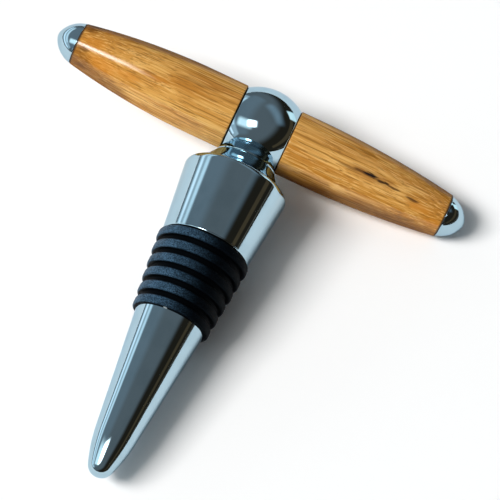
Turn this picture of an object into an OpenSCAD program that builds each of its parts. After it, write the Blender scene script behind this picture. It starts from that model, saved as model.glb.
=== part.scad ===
// Bottle stopper with a T-handle, which unscrews to show a corkscrew.
// Modelled upright: the handle lies along X, and the stopper's axis runs down along -Z.
// It is then laid down as it comes to rest: on its shoulder, its top rib and one grip.

/* [Handle] */
// Length of each wooden grip and of the brass tube in it
grip_len = 38; // [30:0.5:46]
// Left grip's diameter beside the hub
left_grip_dia = 15.2; // [13:0.1:17]
// Left grip's straight length, before it curves down to the cap
left_grip_straight = 8; // [2:0.5:16]
// Left grip's diameter at its cap
left_grip_end_dia = 9.5; // [9:0.1:11]
// Right grip's diameter beside the hub
right_grip_dia = 14.9; // [13:0.1:17]
// Right grip's straight length, before it curves down to the cap
right_grip_straight = 5; // [2:0.5:16]
// Right grip's diameter at its cap
right_grip_end_dia = 9.9; // [9:0.1:11]
// Rounding of a grip's edges at the metal
grip_edge_r = 0.3; // [0.1:0.05:0.5]

/* [Tubes] */
// Outside diameter of the brass tubes
tube_dia = 7; // [6:0.1:8]
// Wall of the brass tubes
tube_wall = 0.4; // [0.3:0.05:0.8]
// Film of glue between a tube and its grip
glue_film = 0.05; // [0.02:0.01:0.15]

/* [End caps] */
// Diameter of a cap where it meets the grip
cap_dia = 9.4; // [8.5:0.1:11]
// Length of a cap's dome
cap_len = 4.8; // [3.5:0.1:6]
// Radius of the dome's nose
cap_nose_r = 2.8; // [2:0.1:3.2]
// Slope of the dome beside the grip, in degrees
cap_slope = 11; // [4:0.5:16]
// Length of the plug that presses into the tube
cap_plug_len = 9; // [5:0.5:14]

/* [Hub] */
// Width of the ball between the two grips
hub_w = 13.1; // [11:0.1:16]
// Diameter of the ball at its middle
ball_dia = 18.7; // [17:0.1:21]
// Diameter of the ball's flat ends
hub_end_dia = 14.5; // [12:0.1:15]
// Length of each side spigot that presses into a tube
spigot_len = 12; // [6:0.5:16]
// Diameter of the collar where it leaves the ball
collar_dia = 12.3; // [11.5:0.1:13.5]
// Distance from the ball to the seam, along the collar
collar_drop = 2.2; // [1.2:0.1:4]
// Diameter at the seam between the collar and the stopper
seam_dia = 14.4; // [13:0.1:16]
// Diameter of the threaded stud that the stopper screws on to
stud_dia = 10; // [8:0.1:11]
// Length of the threaded stud
stud_len = 7; // [4:0.5:10]

/* [Stopper] */
// Length from the seam to the tip
stopper_len = 77.7; // [68:0.1:90]
// Distance from the seam down to the widest ring
shoulder_drop = 5.5; // [4:0.1:8]
// Diameter of the widest ring
shoulder_dia = 23.9; // [22:0.1:26]
// Rounding of the shoulder
shoulder_r = 1.3; // [0.8:0.1:2]
// Radius of the hollow flare above the shoulder
flare_r = 14; // [10:0.5:30]
// Taper of the cone on each side, in degrees
cone_taper = 6.7; // [6:0.1:7.2]
// Length of the rounded tip
tip_len = 10; // [7:0.1:14]
// Radius of the tip's nose, as a share of the cone's radius where the tip starts
tip_nose_share = 0.62; // [0.4:0.01:0.64]

/* [Rubber sleeve] */
// Distance from the seam down to the sleeve
sleeve_drop = 20.8; // [16:0.1:26]
// Number of ribs
rib_count = 6; // [3:1:7]
// Distance between ribs
rib_pitch = 3.36; // [2.8:0.02:3.8]
// How far the top rib stands out from the cone's side
rib_rise = 0.64; // [0.4:0.02:1]
// Loss of diameter from one rib to the next
rib_step = 0.72; // [0.5:0.01:0.9]
// Length of a rib's straight outside
rib_land = 1; // [0.6:0.1:1.4]
// Rounding of a rib's edges
rib_edge_r = 0.55; // [0.3:0.05:0.6]
// Depth of the grooves between ribs
rib_depth = 0.9; // [0.6:0.05:1.1]
// How far the rubber gives where the stopper rests on it
rib_give = 0.08; // [0.02:0.01:0.12]
// Plain lip at each end of the sleeve
sleeve_lip = 0.25; // [0.1:0.05:0.6]
// Depth of the seat that the sleeve lies in
seat_depth = 0.8; // [0.5:0.05:1]
// Rounding of the chrome edge above the sleeve
seat_edge_r = 0.4; // [0.2:0.05:0.6]

/* [Corkscrew] */
// Outside diameter of the worm
worm_dia = 8; // [7:0.1:8.6]
// Diameter of its wire
wire_dia = 2.8; // [2:0.1:3.2]
// Rise of one turn
worm_pitch = 9; // [7:0.1:11]
// Length of the wound part
worm_len = 44; // [30:0.5:46]
// Length of its shank that is held in the stud
shank_held = 9; // [5:0.5:12]
// Length of its shank that stands out of the stud
shank_free = 1.5; // [0.5:0.1:3]
// Length over which the wire narrows to a point
worm_point = 7; // [3:0.5:10]

/* [Hidden] */
$fa = 2;
$fs = 0.25;
// Segments of the circles whose arcs are long and shallow
FINE = 720;
CHROME = [0.72, 0.75, 0.78];
WOOD = [0.72, 0.48, 0.2];
BRASS = [0.78, 0.62, 0.28];
STEEL = [0.6, 0.61, 0.62];
RUBBER = [0.05, 0.05, 0.06];

// Fits
seam_gap = 0.05;
seam_chamfer = 0.15;
thread_gap = 0.08;
worm_gap = 0.5;
drill_angle = 59;
// How far a cut runs out past the face it opens
over = 1;

// Handle, as distances from the middle of the hub
tube_bore = tube_dia - 2 * tube_wall;
grip_start = hub_w / 2;
grip_end = grip_start + grip_len;

// Hub: the ball's outline is one arc from flat end to flat end. Depths count down from the handle's axis
ball_r = ball_dia / 2;
ball_sag = (ball_dia - hub_end_dia) / 2;
ball_arc_r = (grip_start ^ 2 + ball_sag ^ 2) / (2 * ball_sag);
collar_depth = sqrt(ball_r ^ 2 - (collar_dia / 2) ^ 2);
collar_slope = (seam_dia - collar_dia) / 2 / collar_drop;
seam_depth = collar_depth + collar_drop;
stud_end = seam_depth + stud_len;

// Stopper, as [radius, depth] points of its outline
mouth_depth = seam_depth + seam_gap;
shoulder_depth = seam_depth + shoulder_drop;
tip_depth = seam_depth + stopper_len;
tip_start = tip_depth - tip_len;
corner = [shoulder_dia / 2 - shoulder_r, shoulder_depth];
flare_top = [seam_dia / 2, mouth_depth];
flare_centre = outside_touch(flare_top, flare_r, corner, shoulder_r);
flare_foot = corner + shoulder_r * unit(flare_centre - corner);
side_top = corner + shoulder_r * [cos(cone_taper), sin(cone_taper)];
tip_r = side_radius(tip_start);
tip_nose_r = tip_nose_share * tip_r;

// Sleeve
rib_w = rib_land + 2 * rib_edge_r;
sleeve_start = seam_depth + sleeve_drop;
top_rib_depth = sleeve_start + sleeve_lip + rib_w / 2;
top_rib_r = side_radius(top_rib_depth) + rib_rise;
sleeve_end = rib_at(rib_count - 1) + rib_w / 2 + sleeve_lip;
seat_start_r = side_radius(sleeve_start) - seat_depth;
seat_end_r = side_radius(sleeve_end) - seat_depth;

// Corkscrew
coil_r = (worm_dia - wire_dia) / 2;
shank_start = stud_end - shank_held;
coil_start = stud_end + shank_free;
worm_end = coil_start + worm_len;
worm_bore_r = worm_dia / 2 + worm_gap;
mouth_r = stud_dia / 2 + thread_gap;
worm_sides = 10;
turn_steps = 18;
point_share = 0.12;
path_step = 0.01;

// Rest: the stopper's axis dips to the tip until the shoulder and a rib touch the table, and it rolls to one grip
rest_tilt = min([for (i = [0:rib_count - 1]) dip_to_rib(i)]);
axis_height = shoulder_r + corner[0] * cos(rest_tilt) + corner[1] * sin(rest_tilt);
right_ring_r = grip_ring_r(right_grip_dia, right_grip_straight, right_grip_end_dia);
grip_dip = dip_to_edge(grip_end - grip_edge_r, right_ring_r, grip_edge_r);
rest_roll = asin(sin(grip_dip) / cos(rest_tilt));
tip_reach = (tip_depth - tip_nose_r) * cos(rest_tilt) + tip_nose_r;
rest_y = (tip_reach - ball_r) / 2;

function unit(v) = v / norm(v);

// Centre of the circle of radius r through a point that touches the circle of radius s about c from outside
function outside_touch(p, r, c, s) =
    let (d = norm(c - p), u = (c - p) / d, along = (r ^ 2 - (r + s) ^ 2 + d ^ 2) / (2 * d))
    p + along * u + sqrt(r ^ 2 - along ^ 2) * [u[1], -u[0]];

// Radius of the cone's side at a depth
function side_radius(depth) = side_top[0] - (depth - side_top[1]) * tan(cone_taper);

// Depth and radius of a rib, and the straight taper along all ribs
function rib_at(i) = top_rib_depth + i * rib_pitch;
function rib_r(i) = top_rib_r - i * rib_step / 2;
function rib_line_r(depth) = top_rib_r - (depth - top_rib_depth) / rib_pitch * rib_step / 2;

// Radius of a grip's long curve, and of the ring in the middle of the rounding at its end
function grip_arc_r(dia, straight, end_dia) =
    let (sag = (dia - end_dia) / 2) ((grip_len - straight) ^ 2 + sag ^ 2) / (2 * sag);
function grip_ring_r(dia, straight, end_dia) =
    let (arc_r = grip_arc_r(dia, straight, end_dia), along = grip_len - straight - grip_edge_r)
    dia / 2 - arc_r + sqrt((arc_r - grip_edge_r) ^ 2 - along ^ 2);

// Tilt at which the shoulder touches the table and the lower edge of a rib is pressed on to it
function dip_to_rib(i) =
    let (down = rib_at(i) + rib_land / 2 - corner[1], in = corner[0] - (rib_r(i) - rib_edge_r))
    atan2(in, down) + asin((shoulder_r - rib_edge_r + rib_give) / norm([down, in]));

// Dip of the handle at which a rounded edge on it touches the table
function dip_to_edge(x, ring_r, edge_r) = asin((axis_height - edge_r) / norm([x, ring_r])) - atan2(ring_r, x);

// Angle of the coil at a depth, and the middle of the wire there: straight first, then winding out to the coil
function coil_angle(depth) = 360 * max(0, depth - coil_start) / worm_pitch;
function worm_centre(depth) =
    let (a = coil_angle(depth), out = min(1, a / 180), r = coil_r * out * out * (3 - 2 * out))
    [r * cos(a), r * sin(a), depth];

function worm_wire_r(depth) = wire_dia / 2 * max(point_share, min(1, (worm_end - depth) / worm_point));

// One ring of points round the wire, square to its path
function worm_ring(depth) =
    let (c = worm_centre(depth), t = unit(worm_centre(depth + path_step) - worm_centre(depth - path_step)),
         a = coil_angle(depth), out = [cos(a), sin(a), 0], n = unit(out - (out * t) * t), b = cross(t, n))
    [for (j = [0:worm_sides - 1])
        c + worm_wire_r(depth) * (cos(360 * j / worm_sides) * n + sin(360 * j / worm_sides) * b)];

// Puts the upright object down at rest
module laid() {
    translate([0, rest_y, axis_height]) rotate([-90 + rest_tilt, 0, 0]) rotate([0, 0, rest_roll]) children();
}

// Turns an outline of [radius, distance from the hub] about the handle's axis, to the right (1) or left (-1)
module turned_on_handle(side) {
    rotate([0, 90 * side, 0]) rotate_extrude() children();
}

// Sets depths running down the stopper's axis
module downwards() {
    rotate([180, 0, 0]) children();
}

// Pointed dome on a base of radius r: a long arc that starts at a slope, and a round nose
module dome_outline(r, len, nose_r, slope) {
    nose = len - nose_r;
    flank_r = (nose ^ 2 + r ^ 2 - nose_r ^ 2) / (2 * (r * cos(slope) - nose * sin(slope) - nose_r));
    flank = [r - flank_r * cos(slope), -flank_r * sin(slope)];
    touch = flank + ([0, nose] - flank) * flank_r / (flank_r - nose_r);
    intersection() {
        translate(flank) circle(flank_r, $fn = FINE);
        square([r, touch[1]]);
    }
    intersection() {
        translate([0, nose]) circle(nose_r);
        square([nose_r, len]);
    }
}

// What a rounding leaves of a square corner at a point; the sign says whether it points up or down the outline,
// and the lean how far the side under an upper corner slopes in
module corner_waste(p, r, sign, lean = 0) {
    translate(p) difference() {
        translate([-r, sign > 0 ? r * (sin(lean) - 1) : -over]) square(r + over);
        translate([-r, -sign * r]) circle(r);
    }
}

module grip_outline(dia, straight, end_dia) {
    curve = grip_len - straight;
    arc_r = grip_arc_r(dia, straight, end_dia);
    end_lean = asin((curve - grip_edge_r) / (arc_r - grip_edge_r));
    end_corner = [grip_ring_r(dia, straight, end_dia) + grip_edge_r, grip_end];
    bore_r = tube_dia / 2 + glue_film;
    difference() {
        union() {
            translate([0, grip_start]) square([dia / 2, straight]);
            intersection() {
                translate([dia / 2 - arc_r, grip_start + straight]) circle(arc_r, $fn = FINE);
                translate([0, grip_start + straight]) square([dia / 2, curve]);
            }
        }
        translate([0, grip_start - over]) square([bore_r, grip_len + 2 * over]);
        corner_waste([dia / 2, grip_start], grip_edge_r, -1);
        corner_waste(end_corner, grip_edge_r, 1, end_lean);
    }
}

module tube_outline() {
    translate([tube_bore / 2, grip_start]) square([tube_wall, grip_len]);
}

module cap_outline() {
    translate([0, grip_end]) dome_outline(cap_dia / 2, cap_len, cap_nose_r, cap_slope);
    translate([0, grip_end - cap_plug_len]) square([tube_bore / 2, cap_plug_len]);
}

// Ball and the two spigots that press into the tubes
module ball_outline() {
    intersection() {
        translate([ball_r - ball_arc_r, 0]) circle(ball_arc_r, $fn = FINE);
        translate([0, -grip_start]) square([ball_r, hub_w]);
    }
    reach = grip_start + spigot_len;
    translate([0, -reach]) square([tube_bore / 2, 2 * reach]);
}

// Collar under the ball, a cone that starts inside it, and the stud that the stopper screws on to
module collar_outline() {
    foot = seam_dia / 2;
    stud_r = stud_dia / 2;
    polygon([[0, 0], [collar_dia / 2 - collar_slope * collar_depth, 0],
             [foot - collar_slope * seam_chamfer, seam_depth - seam_chamfer], [foot - seam_chamfer, seam_depth],
             [stud_r, seam_depth], [stud_r, stud_end - seam_chamfer], [stud_r - seam_chamfer, stud_end],
             [0, stud_end]]);
}

// From the mouth down: the hollow flare, the sector that rounds the shoulder, the straight side and the tip
module cone_outline() {
    difference() {
        polygon([[0, mouth_depth], flare_top - [seam_chamfer, 0], flare_top + [0, seam_chamfer], flare_foot, corner,
                 [0, shoulder_depth]]);
        translate(flare_centre) circle(flare_r, $fn = FINE);
    }
    intersection() {
        translate(corner) circle(shoulder_r);
        polygon([corner, 2 * flare_foot - corner, corner + 3 * shoulder_r * [1, -1], 2 * side_top - corner]);
    }
    polygon([[0, shoulder_depth], corner, side_top, [tip_r, tip_start], [0, tip_start]]);
    translate([0, tip_start]) dome_outline(tip_r, tip_len, tip_nose_r, cone_taper);
}

// Seat that the sleeve lies in, cut parallel to the cone's side
module seat_outline() {
    polygon([[seat_start_r, sleeve_start], [seat_start_r + over, sleeve_start], [seat_end_r + over, sleeve_end],
             [seat_end_r, sleeve_end]]);
}

// Hollow of the stopper: the threaded mouth, then the bore that holds the worm, with a drilled end
module hollow_outline() {
    bore_end = worm_end + worm_gap;
    translate([0, mouth_depth - over]) square([mouth_r, stud_end + worm_gap - mouth_depth + over]);
    polygon([[0, mouth_depth], [worm_bore_r, mouth_depth], [worm_bore_r, bore_end],
             [0, bore_end + worm_bore_r / tan(drill_angle)]]);
}

// Wall of the sleeve, as deep as the grooves between the ribs
module sleeve_outline() {
    polygon([[seat_start_r, sleeve_start], [rib_line_r(sleeve_start) - rib_depth, sleeve_start],
             [rib_line_r(sleeve_end) - rib_depth, sleeve_end], [seat_end_r, sleeve_end]]);
}

// One rib: a straight outside with rounded edges, rooted in the sleeve's wall
module rib_outline(r, depth) {
    root = r - rib_depth - rib_edge_r / 2;
    difference() {
        translate([root, depth - rib_w / 2]) square([r - root, rib_w]);
        for (s = [-1, 1]) corner_waste([r, depth + s * rib_w / 2], rib_edge_r, s);
    }
}

module hub() {
    color(CHROME) laid() difference() {
        union() {
            turned_on_handle(1) ball_outline();
            downwards() rotate_extrude() collar_outline();
        }
        downwards() translate([0, 0, shank_start]) cylinder(d = wire_dia, h = shank_held + over);
    }
}

module tube(side) {
    color(BRASS) laid() turned_on_handle(side) tube_outline();
}

module left_tube() {
    tube(-1);
}

module right_tube() {
    tube(1);
}

module left_barrel() {
    color(WOOD) laid() turned_on_handle(-1)
        grip_outline(left_grip_dia, left_grip_straight, left_grip_end_dia);
}

module right_barrel() {
    color(WOOD) laid() turned_on_handle(1)
        grip_outline(right_grip_dia, right_grip_straight, right_grip_end_dia);
}

module left_end_cap() {
    color(CHROME) laid() turned_on_handle(-1) cap_outline();
}

module right_end_cap() {
    color(CHROME) laid() turned_on_handle(1) cap_outline();
}

// Wire wound by a rule: rings of points along its path, joined by faces
module corkscrew_worm() {
    steps = ceil(turn_steps * worm_len / worm_pitch);
    depths = concat([shank_start, stud_end], [for (i = [0:steps]) coil_start + i * worm_len / steps]);
    last = len(depths) - 1;
    m = worm_sides;
    points = [for (d = depths) each worm_ring(d)];
    wall = [for (i = [0:last - 1], j = [0:m - 1])
        [i * m + j, (i + 1) * m + j, (i + 1) * m + (j + 1) % m, i * m + (j + 1) % m]];
    ends = [[for (j = [0:m - 1]) j], [for (j = [m - 1:-1:0]) last * m + j]];
    color(STEEL) laid() downwards() polyhedron(points, concat(wall, ends));
}

module stopper_cone() {
    color(CHROME) laid() downwards() rotate_extrude() difference() {
        cone_outline();
        seat_outline();
        corner_waste([side_radius(sleeve_start), sleeve_start], seat_edge_r, 1);
        hollow_outline();
    }
}

// The weight presses a small flat on the rib that the stopper rests on
module rubber_sleeve() {
    color(RUBBER) difference() {
        laid() downwards() {
            rotate_extrude() sleeve_outline();
            for (i = [0:rib_count - 1]) rotate_extrude() rib_outline(rib_r(i), rib_at(i));
        }
        translate([-shoulder_dia, -stopper_len, -over]) cube([2 * shoulder_dia, 2 * stopper_len, over]);
    }
}

hub();
left_tube();
right_tube();
left_barrel();
right_barrel();
left_end_cap();
right_end_cap();
corkscrew_worm();
stopper_cone();
rubber_sleeve();
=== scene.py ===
"""Looks of a T-handle bottle stopper: turned wood, chrome and ribbed rubber, with a corkscrew in its cone.

Sizes are in millimetres in the upright frame of the part's source: the handle lies along X, the stopper's
axis runs down along -Z, and depths count down from the handle's axis. Each piece is then laid down at rest,
in metres.
"""

from __future__ import annotations

import logging
import math
from collections.abc import Iterable, Sequence
from dataclasses import dataclass
from enum import Enum
from typing import Any, NamedTuple

import bmesh
import bpy
from mathutils import Matrix, Vector

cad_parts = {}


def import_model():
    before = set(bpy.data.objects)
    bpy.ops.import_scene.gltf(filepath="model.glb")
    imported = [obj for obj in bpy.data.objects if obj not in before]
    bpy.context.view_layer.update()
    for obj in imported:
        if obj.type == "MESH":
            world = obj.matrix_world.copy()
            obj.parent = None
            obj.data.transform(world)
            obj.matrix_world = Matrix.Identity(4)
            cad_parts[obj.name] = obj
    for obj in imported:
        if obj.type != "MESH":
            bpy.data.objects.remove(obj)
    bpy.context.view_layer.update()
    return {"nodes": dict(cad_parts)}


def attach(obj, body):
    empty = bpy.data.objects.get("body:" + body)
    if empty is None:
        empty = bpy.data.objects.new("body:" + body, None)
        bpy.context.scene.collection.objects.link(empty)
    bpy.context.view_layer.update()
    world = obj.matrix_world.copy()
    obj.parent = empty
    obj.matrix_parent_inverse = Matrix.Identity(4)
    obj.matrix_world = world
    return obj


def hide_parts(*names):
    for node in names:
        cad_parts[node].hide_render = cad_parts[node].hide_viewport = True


log = logging.getLogger("bottle_stopper")

Material = bpy.types.Material
Mesh = bpy.types.Mesh
Socket = bpy.types.NodeSocket
Point = tuple[float, float]
Place = tuple[float, float, float]
Colour = tuple[float, float, float]

MM = 0.001
SAME_SPOT = 1e-5
CREASE = math.radians(34.0)
# Faces round a turned piece, and the longest gaps between points on its hidden walls and in its bores.
SIDES = 224
WALL_STEP = 2.0
BORE_STEP = 4.0


@dataclass(frozen=True)
class RestPose:
    """How the upright stopper is laid on the table: dipped to its tip and rolled on to its right grip.

    The trim keeps the fine facets inside the box of the CAD's coarser ones.
    """

    tilt: float = math.radians(4.626607)
    roll: float = math.radians(10.705993)
    axis_height: float = 13.104472
    set_back: float = 38.658
    trim: float = 0.9999

    def turn(self) -> Matrix:
        """The rotation alone."""
        return Matrix.Rotation(self.tilt - math.pi / 2, 4, "X") @ Matrix.Rotation(self.roll, 4, "Z")

    def place(self) -> Vector:
        """Where the middle of the hub lies, in metres."""
        return Vector((0.0, self.set_back, self.axis_height)) * MM

    def matrix(self) -> Matrix:
        """From millimetres in the upright frame to metres at rest."""
        return Matrix.Translation(self.place()) @ self.turn() @ Matrix.Scale(MM * self.trim, 4)


REST = RestPose()


class Run(Enum):
    """Where the second number of an outline leads."""

    DOWN = "down the stopper"
    LEFT = "out along the left grip"
    RIGHT = "out along the right grip"

    def point(self, radius: float, along: float, angle: float) -> Vector:
        """A point of the turned surface.

        Args:
            radius: Distance from the axis.
            along: Distance along the axis.
            angle: Angle about the axis, in radians.

        Returns:
            The point in the upright frame.
        """
        across, over = radius * math.cos(angle), radius * math.sin(angle)
        if self is Run.DOWN:
            return Vector((across, over, -along))
        return Vector((along if self is Run.RIGHT else -along, across, over))


def arc(centre: Point, radius: float, start: float, end: float, steps: int) -> list[Point]:
    """Points on a circle.

    Args:
        centre: Middle of the circle.
        radius: Its radius.
        start: First angle, in degrees.
        end: Last angle, in degrees.
        steps: Number of chords.

    Returns:
        The points, both ends included.
    """
    angles = [math.radians(start + (end - start) * i / steps) for i in range(steps + 1)]
    return [(centre[0] + radius * math.cos(a), centre[1] + radius * math.sin(a)) for a in angles]


def straight(start: Point, end: Point, step: float = 0.7) -> list[Point]:
    """Points along a line, close enough together to keep the shading of its ends from spreading.

    Args:
        start: First point.
        end: Last point.
        step: Longest distance between two points.

    Returns:
        The points, both ends included.
    """
    parts = max(1, math.ceil(math.dist(start, end) / step))
    return [tuple(a + (b - a) * i / parts for a, b in zip(start, end)) for i in range(parts + 1)]


def angle_of(centre: Point, point: Point) -> float:
    """Direction from a centre to a point, in degrees."""
    return math.degrees(math.atan2(point[1] - centre[1], point[0] - centre[0]))


def dome(radius: float, base: float, length: float, nose_r: float, slope: float) -> list[Point]:
    """A pointed dome: a long arc that starts at a slope, and a round nose on the axis.

    Args:
        radius: Radius of its base.
        base: Where the base lies along the axis.
        length: Length from the base to the point.
        nose_r: Radius of the nose.
        slope: Slope at the base, in degrees.

    Returns:
        The outline from the base to the axis.
    """
    nose, lean = length - nose_r, math.radians(slope)
    reach = radius * math.cos(lean) - nose * math.sin(lean) - nose_r
    flank_r = (nose**2 + radius**2 - nose_r**2) / (2 * reach)
    flank = (radius - flank_r * math.cos(lean), base - flank_r * math.sin(lean))
    meet = angle_of(flank, (0.0, base + nose))
    tip = arc((0.0, base + nose), nose_r, meet, 90.0, steps=24)
    return arc(flank, flank_r, slope, meet, steps=24) + tip


def turned(name: str, outline: Iterable[Point], run: Run, closed: bool = False) -> Mesh:
    """Turns an outline about an axis, as on a lathe.

    Args:
        name: Name of the mesh.
        outline: Points of (radius, along); it starts and ends on the axis, or is a closed ring.
        run: Which axis it turns about.
        closed: Whether the last point joins the first.

    Returns:
        A closed mesh in the upright frame.
    """
    points: list[Point] = []
    for point in outline:
        if not points or math.dist(point, points[-1]) > SAME_SPOT:
            points.append(point)
    shell = bmesh.new()
    rings = []
    for radius, along in points:
        count = SIDES if radius > SAME_SPOT else 1
        rings.append([shell.verts.new(run.point(radius, along, math.tau * i / SIDES)) for i in range(count)])
    for near, far in zip(rings, rings[1:] + rings[:1] if closed else rings[1:]):
        for i in range(SIDES):
            j = (i + 1) % SIDES
            corners = (near[i % len(near)], near[j % len(near)], far[j % len(far)], far[i % len(far)])
            shell.faces.new(tuple(dict.fromkeys(corners)))
    bmesh.ops.recalc_face_normals(shell, faces=shell.faces)
    mesh = bpy.data.meshes.new(name)
    shell.to_mesh(mesh)
    shell.free()
    return mesh


def placed(name: str, data: bpy.types.ID) -> bpy.types.Object:
    """A new object in the scene.

    Args:
        name: Its name.
        data: Its mesh, light or camera.

    Returns:
        The object.
    """
    thing = bpy.data.objects.new(name, data)
    bpy.context.scene.collection.objects.link(thing)
    return thing


def dressed(mesh: Mesh, finish: Material, body: str, node: str | None) -> None:
    """Lays a mesh down at rest, flat where the rubber gives on the table, and hangs it on its CAD body.

    Args:
        mesh: Mesh in the upright frame.
        finish: Its material.
        body: The CAD body that it rides on.
        node: The CAD node that it stands for, if any.
    """
    mesh.transform(REST.matrix())
    for vertex in mesh.vertices:
        vertex.co.z = max(vertex.co.z, 0.0)
    mesh.shade_smooth()
    mesh.set_sharp_from_angle(angle=CREASE)
    mesh.materials.clear()
    mesh.materials.append(finish)
    piece = placed(mesh.name, mesh)
    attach(piece, body)
    if node:
        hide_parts(node)
    log.info("%s: %d faces on %s", piece.name, len(mesh.polygons), body)


class Step(NamedTuple):
    """An eased step: where it starts and where it is complete, and what it gives before and after."""

    start: float
    end: float
    low: float = 0.0
    high: float = 1.0


class Sketch:
    """Makes and joins nodes in one tree with short calls."""

    def __init__(self, tree: bpy.types.NodeTree) -> None:
        """Keeps the tree."""
        self.tree = tree

    def feed(self, node: bpy.types.Node, inputs: dict[str | int, Any]) -> None:
        """Fills sockets of a node.

        Args:
            node: The node.
            inputs: What goes to each socket, by name or number: a value, a socket or a list of sockets.
        """
        for key, value in inputs.items():
            for item in value if isinstance(value, list) else [value]:
                if isinstance(item, Socket):
                    self.tree.links.new(item, node.inputs[key])
                else:
                    node.inputs[key].default_value = item

    def add(self, kind: str, inputs: dict[str | int, Any] | None = None, **settings: Any) -> bpy.types.Node:
        """Adds a node.

        Args:
            kind: Blender's name of the node.
            inputs: What goes to its sockets.
            settings: The node's own settings.

        Returns:
            The node.
        """
        node = self.tree.nodes.new(kind)
        for key, value in settings.items():
            setattr(node, key, value)
        self.feed(node, inputs or {})
        return node

    def maths(self, operation: str, *values: Any) -> Socket:
        """The result of one sum on numbers or sockets."""
        return self.add("ShaderNodeMath", dict(enumerate(values)), operation=operation).outputs[0]

    def vectors(self, operation: str, *values: Any) -> Socket:
        """The result of one sum on vectors: a number for a length, a distance or a product."""
        node = self.add("ShaderNodeVectorMath", dict(enumerate(values)), operation=operation)
        return node.outputs["Value" if operation in ("LENGTH", "DISTANCE", "DOT_PRODUCT") else "Vector"]

    def vector(self, x: Any = 0.0, y: Any = 0.0, z: Any = 0.0) -> Socket:
        """A vector of three numbers or sockets."""
        return self.add("ShaderNodeCombineXYZ", {0: x, 1: y, 2: z}).outputs[0]

    def split(self, vector: Socket) -> list[Socket]:
        """The three numbers of a vector."""
        return list(self.add("ShaderNodeSeparateXYZ", {0: vector}).outputs)

    def noise(self, where: Socket, stretch: Place, detail: float = 3.0, shift: float = 0.0) -> Socket:
        """Smooth noise between about 0.3 and 0.7.

        Args:
            where: Socket of the place.
            stretch: Blotches to the unit of length along each axis.
            detail: How many finer layers it has.
            shift: Moves to another part of the noise.

        Returns:
            Its socket.
        """
        spread = self.add("ShaderNodeMapping", {
            "Vector": where, "Scale": stretch, "Location": (shift, shift, shift)})
        field = self.add("ShaderNodeTexNoise", {"Vector": spread.outputs[0], "Scale": 1.0, "Detail": detail})
        return field.outputs["Fac"]

    def fade(self, value: Socket, step: Step) -> Socket:
        """An eased step on a value."""
        inputs = dict(zip(("Value", "From Min", "From Max", "To Min", "To Max"), (value, *step)))
        return self.add("ShaderNodeMapRange", inputs, interpolation_type="SMOOTHSTEP").outputs[0]

    def blend(self, share: Socket, first: Any, second: Any, mode: str = "MIX") -> Socket:
        """A colour between two, each a colour or a socket, or by its mode a product or a sum of both."""
        tones = [(*tone, 1.0) if isinstance(tone, tuple) else tone for tone in (first, second)]
        return self.add("ShaderNodeMix", dict(zip((0, 6, 7), (share, *tones))), data_type="RGBA",
                        blend_type=mode).outputs[2]

    def bump(self, height: Socket, depth: float, strength: float) -> Socket:
        """A normal roughened by a height: the relief's depth in metres, and the share of it that shows."""
        relief = self.add("ShaderNodeBump", {"Height": height, "Distance": depth, "Strength": strength})
        return relief.outputs[0]


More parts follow.
